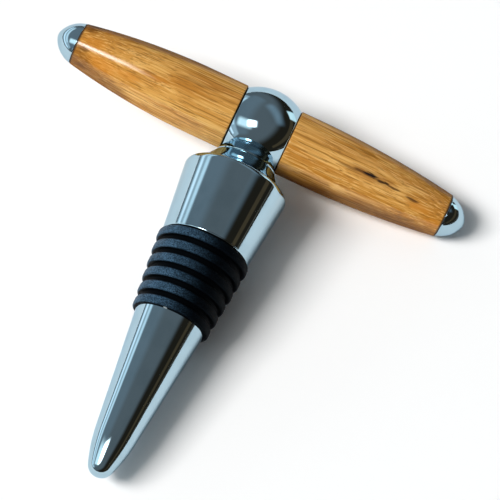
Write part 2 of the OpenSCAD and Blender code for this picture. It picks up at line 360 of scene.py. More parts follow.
class ShapeRule(Sketch):
    """A Geometry Nodes tree with named inputs, run on a mesh and made a plain mesh."""

    def __init__(self, name: str, inputs: dict[str, float | int | Point]) -> None:
        """Starts the tree.

        Args:
            name: Name of the tree.
            inputs: Its sizes by name: a whole number, a length or a point of (radius, depth).
        """
        super().__init__(bpy.data.node_groups.new(name, "GeometryNodeTree"))
        self.values = inputs
        face = self.tree.interface
        face.new_socket("Geometry", in_out="INPUT", socket_type="NodeSocketGeometry")
        face.new_socket("Geometry", in_out="OUTPUT", socket_type="NodeSocketGeometry")
        for key, value in inputs.items():
            kind = {int: "Int", tuple: "Vector"}.get(type(value), "Float")
            face.new_socket(key, in_out="INPUT", socket_type=f"NodeSocket{kind}")
        self.given = self.add("NodeGroupInput").outputs

    def shape(self, kind: str, inputs: dict[str, Any], **settings: Any) -> Socket:
        """The first output of a new Geometry node."""
        return self.add(f"GeometryNode{kind}", inputs, **settings).outputs[0]

    def coil(self, angle: Socket, radius: Socket, depth: Socket, scale: Socket) -> Socket:
        """A round wire wound right-handed round the stopper's axis and closed at its ends.

        Args:
            angle: Socket of the angle at each point, in radians.
            radius: Socket of the winding's radius.
            depth: Socket of the depth.
            scale: Socket of the share of the wire's radius.

        Returns:
            The wire's socket.
        """
        given, back = self.given, self.maths("MULTIPLY", radius, -1.0)
        spot = self.vector(self.maths("MULTIPLY", self.maths("COSINE", angle), radius),
                           self.maths("MULTIPLY", self.maths("SINE", angle), back),
                           self.maths("MULTIPLY", depth, -1.0))
        line = self.shape("MeshLine", {"Count": given["Points"]})
        bent = self.shape("SetPosition", {"Geometry": line, "Position": spot})
        path = self.shape("MeshToCurve", {"Mesh": bent})
        ring = self.shape("CurvePrimitiveCircle", {
            "Resolution": given["Sides"], "Radius": given["Wire radius"]})
        return self.shape("CurveToMesh", {
            "Curve": path, "Profile Curve": ring, "Scale": scale, "Fill Caps": True})

    def run(self, name: str, result: Socket, finish: Material, base: Mesh | None = None) -> Mesh:
        """Ends the tree, runs it and keeps the mesh.

        Args:
            name: Name of the mesh.
            result: The shape's socket.
            finish: Material set on it.
            base: Mesh that the tree works on.

        Returns:
            The plain mesh in the upright frame.
        """
        real = self.shape("RealizeInstances", {"Geometry": result})
        painted = self.shape("SetMaterial", {"Geometry": real, "Material": finish})
        self.add("NodeGroupOutput", {"Geometry": painted})
        carrier = placed(f"{name}_rule", base or bpy.data.meshes.new(f"{name}_base"))
        modifier = carrier.modifiers.new("rule", "NODES")
        modifier.node_group = self.tree
        for item in self.tree.interface.items_tree:
            if item.in_out == "INPUT" and item.name in self.values:
                value = self.values[item.name]
                modifier[item.identifier] = (*value, 0.0) if isinstance(value, tuple) else value
        graph = bpy.context.evaluated_depsgraph_get()
        mesh = bpy.data.meshes.new_from_object(carrier.evaluated_get(graph), depsgraph=graph)
        mesh.name = name
        carrier.modifiers.clear()
        bpy.data.objects.remove(carrier)
        return mesh


def started(name: str) -> tuple[Material, Sketch, bpy.types.Node]:
    """Starts a material.

    Args:
        name: Its name.

    Returns:
        The material, the sketch of its tree and its Principled shader.
    """
    material = bpy.data.materials.new(name)
    material.use_nodes = True
    return material, Sketch(material.node_tree), material.node_tree.nodes["Principled BSDF"]


def upright(sketch: Sketch) -> Socket:
    """The place on the piece in the upright frame, in millimetres."""
    inputs = {"Vector": sketch.add("ShaderNodeTexCoord").outputs["Object"], "Location": REST.place(),
              "Rotation": REST.turn().to_euler(), "Scale": (MM, MM, MM)}
    return sketch.add("ShaderNodeMapping", inputs, vector_type="TEXTURE").outputs[0]


@dataclass(frozen=True)
class Metal:
    """Metal with worn patches in its colour and roughness, fine marks, and a tint seen at low angles."""

    name: str
    colour: Colour
    worn: Colour
    roughness: Step
    edge: Colour = (1.0, 1.0, 1.0)
    worn_stretch: Place = (1.2, 1.2, 1.2)
    worn_detail: float = 4.0
    worn_step: Step = Step(0.4, 0.65)
    mark_stretch: Place = (1.2, 1.2, 1.2)
    mark_detail: float = 4.0
    mark_depth: float = 0.00003
    mark_share: float = 0.2

    def material(self) -> Material:
        """Makes the material.

        Returns:
            The material.
        """
        material, sketch, shader = started(self.name)
        where = upright(sketch)
        patches = sketch.noise(where, self.worn_stretch, self.worn_detail)
        marks = sketch.noise(where, self.mark_stretch, self.mark_detail)
        sketch.feed(shader, {
            "Base Color": sketch.blend(sketch.fade(patches, self.worn_step), self.colour, self.worn),
            "Roughness": sketch.fade(patches, self.roughness),
            "Normal": sketch.bump(marks, self.mark_depth, self.mark_share),
            "Specular Tint": (*self.edge, 1.0),
            "Metallic": 1.0})
        return material


# Chrome has faint smears of handling and hairline marks. Its colour is tinted blue, a painted tint that
# stands for the room's bluish light in its reflections. The brass and the steel are hidden and plain.
CHROME = Metal(
    "polished_chrome", (0.435, 0.595, 0.685), (0.395, 0.55, 0.635), Step(0.42, 0.7, 0.03, 0.085),
    edge=(0.66, 0.74, 0.80), worn_stretch=(0.22, 0.22, 0.16), worn_detail=3.0, worn_step=Step(0.42, 0.7),
    mark_stretch=(2.4, 2.4, 0.5), mark_depth=0.00001, mark_share=0.12)
BRASS = Metal("tube_brass", (0.70, 0.52, 0.22), (0.58, 0.41, 0.16), Step(0.3, 0.7, 0.22, 0.42))
STEEL = Metal("worm_steel", (0.62, 0.63, 0.64), (0.52, 0.53, 0.545), Step(0.3, 0.7, 0.12, 0.3))


@dataclass(frozen=True)
class Streak:
    """A mark on the wood that runs along the grain, full in its core and gone at its rim: a mark of the
    grain, or a band of painted shade.
    """

    place: Place
    half_len: float
    half_width: float
    colour: Colour
    depth: float
    core: float = 0.45

    def share(self, sketch: Sketch, where: Socket) -> Socket:
        """How strongly the mark shows at a place."""
        near = sketch.vectors("DIVIDE", sketch.vectors("SUBTRACT", where, self.place),
                              (self.half_len, self.half_width, self.half_width))
        return sketch.fade(sketch.vectors("LENGTH", near), Step(1.0, self.core, 0.0, self.depth))


# Tones of the wood. The last of them is painted shade: it darkens the tones under it where the grips turn
# from the light, and the others cover them.
HONEY: Colour = (0.68, 0.345, 0.078)
PALE: Colour = (0.86, 0.52, 0.165)
AMBER: Colour = (0.52, 0.215, 0.030)
BROWN: Colour = (0.33, 0.140, 0.025)
PORE: Colour = (0.22, 0.085, 0.014)
JOINT: Colour = (0.03, 0.017, 0.009)
KNOT: Colour = (0.012, 0.006, 0.004)
HALO: Colour = (0.36, 0.14, 0.022)
BARK: Colour = (0.12, 0.045, 0.010)
ORANGE: Colour = (0.62, 0.225, 0.022)
PAINTED_SHADE: Colour = (0.37, 0.30, 0.19)

# Painted shade on the sides of the left grip that turn from the light.
LEFT_PAINTED_SHADE = (
    Streak((-30.0, -3.3, 6.0), 28.0, 4.4, PAINTED_SHADE, 0.95),
    Streak((-38.0, 0.6, -5.8), 13.0, 4.6, PAINTED_SHADE, 0.75),
    Streak((-43.6, -3.8, 3.2), 4.4, 2.6, PAINTED_SHADE, 0.80),
    Streak((-43.0, -2.6, -4.4), 5.0, 3.0, PAINTED_SHADE, 0.60),
)
LEFT_STREAKS = (
    Streak((-37.5, -4.3, -4.2), 5.5, 2.0, ORANGE, 0.60),
    Streak((-31.0, -5.0, -4.3), 4.5, 1.2, ORANGE, 0.50),
    Streak((-40.5, -5.4, -0.4), 4.0, 1.6, ORANGE, 0.45),
    Streak((-24.0, -6.6, -2.4), 4.0, 0.8, ORANGE, 0.30),
    Streak((-17.0, -7.6, 0.3), 7.0, 0.6, BARK, 0.30),
    Streak((-42.8, -4.4, -2.6), 2.2, 0.7, BARK, 0.55),
    Streak((-41.5, -3.4, 4.0), 4.5, 0.9, BARK, 0.50),
)
# Painted shade on the sides of the right grip that turn from the light, and near the hub where the cone
# shades it.
RIGHT_PAINTED_SHADE = (
    Streak((28.0, -2.4, 6.6), 28.0, 4.4, PAINTED_SHADE, 0.85),
    Streak((28.0, 1.2, -6.6), 30.0, 5.2, PAINTED_SHADE, 0.95),
    Streak((41.0, -3.2, 4.2), 9.0, 3.0, PAINTED_SHADE, 0.60),
    Streak((11.0, -0.6, -7.2), 13.0, 4.0, PAINTED_SHADE, 0.75),
)
RIGHT_STREAKS = (
    Streak((26.5, -6.7, -1.7), 8.0, 1.6, HALO, 0.60),
    Streak((38.6, -4.9, -3.0), 3.6, 1.4, ORANGE, 0.55),
    Streak((42.4, -3.4, -4.0), 3.0, 1.1, ORANGE, 0.50),
    Streak((36.5, -2.2, -5.6), 5.0, 0.5, BARK, 0.45),
    Streak((22.5, -6.6, 2.9), 8.5, 0.35, BARK, 0.45),
    Streak((20.8, -6.9, -2.1), 3.2, 0.45, BARK, 0.50),
    Streak((31.6, -6.2, -1.9), 2.6, 0.32, BARK, 0.85),
    Streak((36.6, -5.6, -2.2), 2.8, 0.40, BARK, 0.95),
    Streak((23.7, -6.9, -1.8), 2.8, 0.42, BARK, 0.90),
    Streak((28.9, -6.5, -1.8), 2.2, 0.45, KNOT, 0.90),
    Streak((26.0, -6.8, -1.6), 2.3, 0.60, KNOT, 1.00),
)


class Figure(Enum):
    """Layers of the wood's figure: blotches to the millimetre along and across it, detail and shift."""

    BROAD = (0.045, 0.38, 2.0, 3.0)
    BANDS = (0.04, 1.2, 3.0, 7.0)
    LINES = (0.045, 3.2, 3.0, 11.0)
    DASHES = (0.20, 5.0, 2.0, 17.0)

    def noise(self, sketch: Sketch, where: Socket, shift: float) -> Socket:
        """The layer's noise in a grip that has a shift of its own."""
        along, across, detail, own_shift = self.value
        return sketch.noise(where, (along, across, across), detail, shift + own_shift)


@dataclass(frozen=True)
class LacqueredWood:
    """Honey-coloured open-grained wood turned along the grain, under a clear gloss lacquer.

    The ground tints lie under the toasted end of the grip, and the grain tints on top of it. Bands of painted
    shade then darken the sides of the grip that turn from the light.
    """

    name: str
    grip: Grip
    streaks: tuple[Streak, ...]
    shade_marks: tuple[Streak, ...]
    toasted: float
    shift: float
    toast_len: float = 20.0
    sway_stretch: Place = (0.09, 0.2, 0.2)
    sway_detail: float = 2.0
    ground: tuple[tuple[Figure, Step, Colour], ...] = (
        (Figure.BROAD, Step(0.38, 0.62), AMBER),
        (Figure.BANDS, Step(0.50, 0.68, 0.0, 0.75), PALE),
        (Figure.BANDS, Step(0.47, 0.32, 0.0, 0.60), AMBER),
    )
    grain: tuple[tuple[Figure, Step, Colour], ...] = (
        (Figure.LINES, Step(0.53, 0.65, 0.0, 0.65), PALE),
        (Figure.LINES, Step(0.46, 0.34, 0.0, 0.85), BROWN),
        (Figure.DASHES, Step(0.41, 0.30, 0.0, 0.60), PORE),
    )
    fray: tuple[tuple[Figure, float], ...] = (
        (Figure.LINES, 4.0), (Figure.BANDS, 0.8), (Figure.DASHES, 0.8))
    joint_lines: Point = (0.20, -0.60)
    joint_core: float = 0.25
    joint_share: float = 0.9
    roughness: Point = (0.32, 0.57)
    pore_depth: float = 0.00004
    pore_share: float = 0.15
    gloss: float = 0.05
    lacquer: float = 0.11
    lacquer_ior: float = 4.0

    def tone(self, sketch: Sketch, place: Socket, layers: dict[Figure, Socket]) -> Socket:
        """The wood's colour.

        Args:
            sketch: The wood's tree.
            place: Socket of the place.
            layers: Sockets of the figure's layers.

        Returns:
            The colour's socket.
        """
        tone: Any = HONEY
        start, end = self.grip.start, self.grip.end()
        along = sketch.maths("ABSOLUTE", sketch.split(place)[0])
        for figure, step, colour in self.ground:
            tone = sketch.blend(sketch.fade(layers[figure], step), tone, colour)
        toast = Step(end - self.toast_len, end, 0.0, self.toasted)
        tone = sketch.blend(sketch.fade(along, toast), tone, AMBER)
        for figure, step, colour in self.grain:
            tone = sketch.blend(sketch.fade(layers[figure], step), tone, colour)
        frayed = [sketch.maths("MULTIPLY_ADD", layers[figure], far, -far / 2) for figure, far in self.fray]
        torn = sketch.vectors("ADD", place, sketch.vector(*frayed))
        # The grain's marks cover the tone, and the bands of painted shade darken it.
        for marks, mode in ((self.streaks, "MIX"), (self.shade_marks, "MULTIPLY")):
            for mark in marks:
                tone = sketch.blend(mark.share(sketch, torn), tone, mark.colour, mode)
        for edge, inside in zip((start, end), self.joint_lines):
            line = Step(edge + inside, edge + inside * self.joint_core, 0.0, self.joint_share)
            tone = sketch.blend(sketch.fade(along, line), tone, JOINT)
        return tone

    def material(self) -> Material:
        """Makes the material.

        Returns:
            The material.
        """
        material, sketch, shader = started(self.name)
        place = upright(sketch)
        sway = sketch.noise(place, self.sway_stretch, self.sway_detail, self.shift)
        where = sketch.vectors("ADD", place, sketch.vector(0.0, sway, sway))
        layers = {figure: figure.noise(sketch, where, self.shift) for figure in Figure}
        smooth, rough = self.roughness
        sketch.feed(shader, {
            "Base Color": self.tone(sketch, place, layers),
            "Roughness": sketch.maths("MULTIPLY_ADD", layers[Figure.LINES], rough - smooth, smooth),
            "Normal": sketch.bump(layers[Figure.DASHES], self.pore_depth, self.pore_share),
            "Specular IOR Level": 0.0,
            "Coat Weight": self.lacquer,
            "Coat IOR": self.lacquer_ior,
            "Coat Roughness": self.gloss})
        return material


@dataclass(frozen=True)
class BlackRubber:
    """Moulded rubber: black in its grooves, with a cool bloom, partly real and partly painted sheen, and a
    fine grain on the crowns of its ribs.

    The crown is in shares of a rib's depth. The bloom fades out towards the right, as painted shade on the
    side turned from the light.
    """

    sleeve: RubberSleeve
    black: Colour = (0.0008, 0.0011, 0.0016)
    bloom_and_painted_sheen: Colour = (0.042, 0.092, 0.150)
    sheen: Colour = (0.55, 0.80, 1.0)
    # A pale spot at the sleeve's lower edge: a nick, with the chrome's glint in it painted on.
    nick_glint: Colour = (0.34, 0.39, 0.41)
    nick_glint_place: Place = (-2.05, -7.65, -49.5)
    nick_glint_step: Step = Step(0.56, 0.36)
    crown: Point = (-0.5, -0.04)
    cloud_stretch: Place = (0.5, 0.5, 0.5)
    cloud: Step = Step(0.3, 0.7, 0.55, 1.0)
    grain_stretch: Place = (5.0, 5.0, 5.0)
    grain_depth: float = 0.00008
    grain_share: float = 0.35
    speckle: Step = Step(0.42, 0.62, 0.30, 1.50)
    painted_shade_right: Step = Step(4.0, -7.0, 0.03, 1.0)
    roughness: Step = Step(0.3, 0.7, 0.40, 0.60)
    shine: Step = Step(0.0, 1.0, 0.03, 0.25)

    def material(self) -> Material:
        """Makes the material.

        Returns:
            The material.
        """
        material, sketch, shader = started("black_rubber")
        where = upright(sketch)
        x, y, z = sketch.split(where)
        sleeve, fall = self.sleeve, self.sleeve.step / self.sleeve.pitch
        crown_r = sketch.maths("MULTIPLY_ADD", z, fall, sleeve.top_rib_r + fall * sleeve.first_rib())
        height = sketch.maths("SUBTRACT", sketch.vectors("LENGTH", sketch.vector(x, y)), crown_r)
        bloom_and_sheen_share = sketch.fade(height, Step(*(sleeve.depth * share for share in self.crown)))
        cloud = sketch.noise(where, self.cloud_stretch)
        grain = sketch.noise(where, self.grain_stretch)
        # The bloom varies with the cloud and the grain, and fades out to the right as painted shade.
        for value, step in ((cloud, self.cloud), (grain, self.speckle), (x, self.painted_shade_right)):
            bloom_and_sheen_share = sketch.maths("MULTIPLY", bloom_and_sheen_share, sketch.fade(value, step))
        # Painted glint of chrome in the nick at the sleeve's lower edge.
        nick_glint_share = sketch.fade(sketch.vectors("DISTANCE", where, self.nick_glint_place), self.nick_glint_step)
        sketch.feed(shader, {
            "Base Color": sketch.blend(nick_glint_share, sketch.blend(bloom_and_sheen_share, self.black, self.bloom_and_painted_sheen), self.nick_glint),
            "Roughness": sketch.fade(grain, self.roughness),
            "Normal": sketch.bump(grain, self.grain_depth, self.grain_share),
            "Specular IOR Level": sketch.fade(bloom_and_sheen_share, self.shine),
            "Specular Tint": (*self.sheen, 1.0)})
        return material


@dataclass(frozen=True)
class Finishes:
    """The materials of all pieces."""

    chrome: Material
    wood_left: Material
    wood_right: Material
    brass: Material
    steel: Material
    rubber: Material


@dataclass(frozen=True)
class Hub:
    """The ball that joins the grips, with its spigots, and the collar and threaded stud under it.

    The thread's gap to the stud's ends and its ridge's radius are in shares of its depth.
    """

    width: float = 13.1
    ball_dia: float = 18.7
    end_dia: float = 14.5
    spigot_dia: float = 6.2
    spigot_len: float = 12.0
    collar_dia: float = 12.3
    collar_drop: float = 2.2
    collar_rise: float = 3.0
    collar_step: float = 0.3
    seam_dia: float = 14.4
    stud_dia: float = 10.0
    stud_len: float = 7.0
    chamfer: float = 0.15
    thread_pitch: float = 1.25
    thread_depth: float = 0.55
    gap_share: float = 1.1
    ridge_share: float = 0.9
    ridge_sides: int = 10
    turn_points: int = 48
    run_out_rate: float = 14.0
    run_out_start: float = 0.15

    def ball_bottom(self) -> float:
        """Depth at which the collar leaves the ball."""
        return math.sqrt(self.ball_dia**2 - self.collar_dia**2) / 2

    def seam(self) -> float:
        """Depth of the seam between the collar and the stopper."""
        return self.ball_bottom() + self.collar_drop

    def stud_end(self) -> float:
        """Depth of the stud's end."""
        return self.seam() + self.stud_len

    def ball_outline(self) -> list[Point]:
        """Outline of the ball and its spigots along the handle, with the ball's edges eased.

        Returns:
            The outline from end to end.
        """
        half, top = self.width / 2, self.ball_dia / 2
        sag = (self.ball_dia - self.end_dia) / 2
        bow = (half**2 + sag**2) / (2 * sag)
        lean = math.degrees(math.asin((half - self.chamfer) / bow))
        reach, spigot = half + self.spigot_len, self.spigot_dia / 2
        edge = self.end_dia / 2 - self.chamfer
        side = [(0.0, reach), *straight((spigot, reach), (spigot, half), WALL_STEP), (edge, half)]
        face = arc((top - bow, 0.0), bow, -lean, lean, steps=64)
        return [(r, -a) for r, a in side] + face + side[::-1]

    def collar_outline(self, shank_dia: float, shank_len: float) -> list[Point]:
        """Outline of the collar, the stud and the hole for the corkscrew's shank.

        Args:
            shank_dia: Diameter of the shank.
            shank_len: Length of the hole.

        Returns:
            The outline from inside the ball to the bottom of the hole.
        """
        slope = (self.seam_dia - self.collar_dia) / 2 / self.collar_drop
        foot, seam, end, ease = self.seam_dia / 2, self.seam(), self.stud_end(), self.chamfer
        start = self.ball_bottom() - self.collar_rise
        core, bore = self.stud_dia / 2 - self.thread_depth, shank_dia / 2
        top, bottom = (foot - slope * (seam - start), start), (foot - slope * ease, seam - ease)
        return [(0.0, start), *straight(top, bottom, self.collar_step), (foot - ease, seam), (core, seam),
                (core, end - ease), (core - ease, end), (bore, end), (bore, end - shank_len),
                (0.0, end - shank_len)]

    def thread(self, finish: Material) -> Mesh:
        """The stud's thread: a round ridge that climbs its core and runs out at both ends.

        Args:
            finish: Its material.

        Returns:
            The ridge in the upright frame.
        """
        gap = self.gap_share * self.thread_depth
        length = self.stud_len - 2 * gap
        rule = ShapeRule("thread_ridge", {
            "Points": int(length / self.thread_pitch * self.turn_points), "Sides": self.ridge_sides,
            "Start": self.seam() + gap, "Length": length, "Pitch": self.thread_pitch,
            "Core": self.stud_dia / 2 - self.thread_depth,
            "Wire radius": self.ridge_share * self.thread_depth})
        given = rule.given
        share = rule.maths("DIVIDE", rule.shape("InputIndex", {}), given["Points"])
        climb = rule.maths("MULTIPLY", share, given["Length"])
        angle = rule.maths("MULTIPLY", rule.maths("DIVIDE", climb, given["Pitch"]), math.tau)
        depth = rule.maths("ADD", climb, given["Start"])
        nearest = rule.maths("MINIMUM", share, rule.maths("SUBTRACT", 1.0, share))
        swell = rule.maths("MULTIPLY_ADD", nearest, self.run_out_rate, self.run_out_start)
        ridge = rule.coil(angle, given["Core"], depth, rule.maths("MINIMUM", 1.0, swell))
        return rule.run("stud_thread", ridge, finish)

    def build(self, finishes: Finishes, shank_dia: float, shank_len: float) -> None:
        """Makes the ball, the collar and the thread.

        Args:
            finishes: The materials.
            shank_dia: Diameter of the corkscrew's shank.
            shank_len: Length of the hole for it.
        """
        chrome = finishes.chrome
        dressed(turned("hub_ball", self.ball_outline(), Run.RIGHT), chrome, "handle", "hub")
        collar = turned("hub_collar", self.collar_outline(shank_dia, shank_len), Run.DOWN)
        dressed(collar, chrome, "handle", "hub")
        dressed(self.thread(chrome), chrome, "handle", None)


@dataclass(frozen=True)
class Grip:
    """One turned grip of the handle and the chrome cap on its end."""

    run: Run
    dia: float
    straight_len: float
    end_dia: float
    start: float = 6.55
    length: float = 38.0
    edge_r: float = 0.3
    bore_dia: float = 7.1
    cap_dia: float = 9.4
    cap_len: float = 4.8
    cap_nose_r: float = 2.8
    cap_slope: float = 11.0
    cap_ease: float = 0.12
    plug_dia: float = 6.2
    plug_len: float = 9.0

    def end(self) -> float:
        """Where the wood meets the cap."""
        return self.start + self.length

    def barrel_outline(self) -> list[Point]:
        """Outline of the wood: a straight start, then one long curve to the cap, with both edges eased.

        Returns:
            The closed outline.
        """
        radius, bore, edge, end = self.dia / 2, self.bore_dia / 2, self.edge_r, self.end()
        curve, sag = self.length - self.straight_len, (self.dia - self.end_dia) / 2
        bow = (curve**2 + sag**2) / (2 * sag)
        centre = (radius - bow, self.start + self.straight_len)
        lean = math.asin((curve - edge) / (bow - edge))
        ring = centre[0] + (bow - edge) * math.cos(lean)
        lean = math.degrees(lean)
        return [*straight((bore, end), (bore, self.start), BORE_STEP),
                *arc((radius - edge, self.start + edge), edge, -90.0, 0.0, steps=8),
                *straight((radius, self.start + edge), (radius, centre[1])),
                *arc(centre, bow, 0.0, lean, steps=60),
                *arc((ring, end - edge), edge, lean, 90.0, steps=8)]

    def cap_outline(self) -> list[Point]:
        """Outline of the cap's dome and of the plug that presses into the tube.

        Returns:
            The outline from the plug's end to the point of the dome.
        """
        base, plug, radius, ease = self.end(), self.plug_dia / 2, self.cap_dia / 2, self.cap_ease
        back = base - self.plug_len
        rim = arc((radius - ease, base + ease), ease, -90.0, self.cap_slope, steps=6)
        return [(0.0, back), *straight((plug, back), (plug, base), WALL_STEP), *rim,
                *dome(radius, base, self.cap_len, self.cap_nose_r, self.cap_slope)[1:]]

    def build(self, finishes: Finishes) -> None:
        """Makes the wood and the cap.

        Args:
            finishes: The materials.
        """
        side = self.run.name.lower()
        wood = finishes.wood_left if self.run is Run.LEFT else finishes.wood_right
        barrel = turned(f"{side}_grip_wood", self.barrel_outline(), self.run, closed=True)
        dressed(barrel, wood, "handle", f"{side}_barrel")
        cap = turned(f"{side}_cap", self.cap_outline(), self.run)
        dressed(cap, finishes.chrome, "handle", f"{side}_end_cap")


@dataclass(frozen=True)
class Stopper:
    """The hollow chrome cone: flare, shoulder, tapered side with the sleeve's seat, and rounded tip."""

    seam: float
    length: float = 77.7
    seam_dia: float = 14.4
    seam_gap: float = 0.05
    chamfer: float = 0.15
    shoulder_drop: float = 5.5
    shoulder_dia: float = 23.9
    shoulder_r: float = 1.3
    flare_r: float = 14.0
    taper: float = 6.7
    tip_len: float = 10.0
    tip_nose_share: float = 0.62
    sleeve_drop: float = 21.9
    sleeve_len: float = 18.6
    seat_depth: float = 0.8
    seat_edge_r: float = 0.4
    mouth_dia: float = 10.16
    mouth_len: float = 7.5
    bore_dia: float = 9.0
    bore_len: float = 53.0
    drill_angle: float = 59.0

    def corner(self) -> Point:
        """Centre of the shoulder's rounding."""
        return self.shoulder_dia / 2 - self.shoulder_r, self.seam + self.shoulder_drop

    def sleeve_start(self) -> float:
        """Depth at which the sleeve starts."""
        return self.seam + self.sleeve_drop

    def sleeve_end(self) -> float:
        """Depth at which the sleeve ends."""
        return self.sleeve_start() + self.sleeve_len

    def side_r(self, depth: float) -> float:
        """Radius of the tapered side at a depth."""
        lean, (radius, middle) = math.radians(self.taper), self.corner()
        return radius + self.shoulder_r / math.cos(lean) - (depth - middle) * math.tan(lean)

    def seat_r(self, depth: float) -> float:
        """Radius of the sleeve's seat at a depth."""
        return self.side_r(depth) - self.seat_depth

    def flare(self) -> list[Point]:
        """The hollow curve from the mouth out to the shoulder, and the shoulder's rounding.

        Returns:
            The outline from the mouth to the tapered side.
        """
        start, corner = Vector((self.seam_dia / 2, self.seam + self.seam_gap)), Vector(self.corner())
        gap, touch = (corner - start).length, self.flare_r + self.shoulder_r
        way = (corner - start) / gap
        along = (self.flare_r**2 - touch**2 + gap**2) / (2 * gap)
        centre = start + along * way + math.sqrt(self.flare_r**2 - along**2) * Vector((way.y, -way.x))
        first, last = angle_of(centre, start), angle_of(centre, corner)
        turn = (last - first + 180.0) % 360.0 - 180.0
        hollow = arc(tuple(centre), self.flare_r, first, first + turn, steps=28)
        shoulder = arc(tuple(corner), self.shoulder_r, angle_of(corner, centre), self.taper, steps=18)
        return [(hollow[0][0] - self.chamfer, hollow[0][1]), *hollow[1:], *shoulder]

    def outline(self) -> list[Point]:
        """The whole outline, from the end of the bore round the mouth and down the outside to the tip.

        Returns:
            The outline from axis to axis.
        """
        bore, bore_end = self.bore_dia / 2, self.seam + self.bore_len
        mouth, mouth_end = self.mouth_dia / 2, self.seam + self.mouth_len
        sleeve, sleeve_end, edge = self.sleeve_start(), self.sleeve_end(), self.seat_edge_r
        tip, flare = self.seam + self.length - self.tip_len, self.flare()
        tip_r = self.side_r(tip)
        return [(0.0, bore_end + bore / math.tan(math.radians(self.drill_angle))),
                *straight((bore, bore_end), (bore, mouth_end), BORE_STEP),
                *straight((mouth, mouth_end), (mouth, self.seam + self.seam_gap), WALL_STEP),
                *flare,
                *straight(flare[-1], (self.side_r(sleeve - edge), sleeve - edge)),
                *arc((self.side_r(sleeve) - edge, sleeve - edge), edge, self.taper, 90.0, steps=8),
                *straight((self.seat_r(sleeve), sleeve), (self.seat_r(sleeve_end), sleeve_end), WALL_STEP),
                *straight((self.side_r(sleeve_end), sleeve_end), (tip_r, tip)),
                *dome(tip_r, tip, self.tip_len, self.tip_nose_share * tip_r, self.taper)]

    def build(self, finishes: Finishes) -> None:
        """Makes the cone."""
        cone = turned("chrome_cone", self.outline(), Run.DOWN)
        dressed(cone, finishes.chrome, "stopper", "stopper_cone")


@dataclass(frozen=True)
class RubberSleeve:
    """The black sleeve: one ring of wall with ribs that get smaller towards the tip."""

    cone: Stopper
    top_rib_r: float = 10.525
    ribs: int = 6
    pitch: float = 3.225
    step: float = 0.3455
    land: float = 1.0
    edge_r: float = 0.55
    depth: float = 0.9
    lip: float = 0.25
    draft: float = 0.04
    foot_width: float = 0.12
    merge_gap: float = 0.001
    sweep_r: float = 1.0

    def first_rib(self) -> float:
        """Depth of the middle of the first rib."""
        return self.cone.sleeve_start() + self.lip + self.land / 2 + self.edge_r

    def unit(self) -> list[Point]:
        """One pitch of the outline, from mid-groove to mid-groove about the first rib.

        Returns:
            The points of the first rib and of half a groove on both its sides.
        """
        middle, fall = self.first_rib(), self.step / self.pitch

        def floor(offset: float) -> Point:
            """Floor of the groove at an offset from the rib's middle."""
            return self.top_rib_r - self.depth - fall * offset, middle + offset

        half, top = self.land / 2, self.top_rib_r - self.edge_r
        foot = half + self.edge_r + self.draft
        return [floor(-self.pitch / 2), floor(-foot - self.foot_width), floor(-foot),
                *arc((top, middle - half), self.edge_r, -90.0, 0.0, steps=7),
                *arc((top, middle + half), self.edge_r, 0.0, 90.0, steps=7),
                floor(foot), floor(foot + self.foot_width), floor(self.pitch / 2)]

    def build(self, finishes: Finishes) -> None:
        """Repeats the unit, closes it along the seat and sweeps it round the cone.

        Args:
            finishes: The materials.
        """
        unit, others, cone = self.unit(), self.ribs - 1, self.cone
        start, end = cone.sleeve_start(), cone.sleeve_end()
        rule = ShapeRule("ribbed_sleeve", {
            "Ribs": self.ribs, "Step": (-self.step, self.pitch), "Groove start": unit[0],
            "Groove end": (unit[-1][0] - self.step * others, unit[-1][1] + self.pitch * others),
            "Seat start": (cone.seat_r(start), start), "Seat end": (cone.seat_r(end), end),
            "Sides": SIDES, "Radius": self.sweep_r})
        given = rule.given
        rib = rule.shape("MeshLine", {"Count": given["Ribs"], "Offset": given["Step"]})
        ribs = rule.shape("InstanceOnPoints", {"Points": rib, "Instance": given["Geometry"]})
        shown = rule.shape("RealizeInstances", {"Geometry": ribs})
        names = ("Groove start", "Seat start", "Seat end", "Groove end")
        walls = [rule.shape("MeshLine", {"Count": 2, "Start Location": given[a], "Offset": given[b]},
                            mode="END_POINTS") for a, b in zip(names, names[1:])]
        ring = rule.shape("JoinGeometry", {"Geometry": [shown, *walls]})
        closed = rule.shape("MergeByDistance", {"Geometry": ring, "Distance": self.merge_gap})
        inward = rule.vector(rule.maths("MULTIPLY", given["Radius"], -1.0))
        moved = rule.shape("SetPosition", {"Geometry": closed, "Offset": inward})
        outline = rule.shape("MeshToCurve", {"Mesh": moved})
        circle = rule.shape("CurvePrimitiveCircle", {"Resolution": given["Sides"], "Radius": given["Radius"]})
        swept = rule.shape("CurveToMesh", {"Curve": circle, "Profile Curve": outline})
        base = bpy.data.meshes.new("rib_unit")
        base.from_pydata([(r, d, 0.0) for r, d in unit], [(i, i + 1) for i in range(len(unit) - 1)], [])
        mesh = rule.run("ribbed_sleeve", swept, finishes.rubber, base)
        dressed(mesh, finishes.rubber, "stopper", "rubber_sleeve")


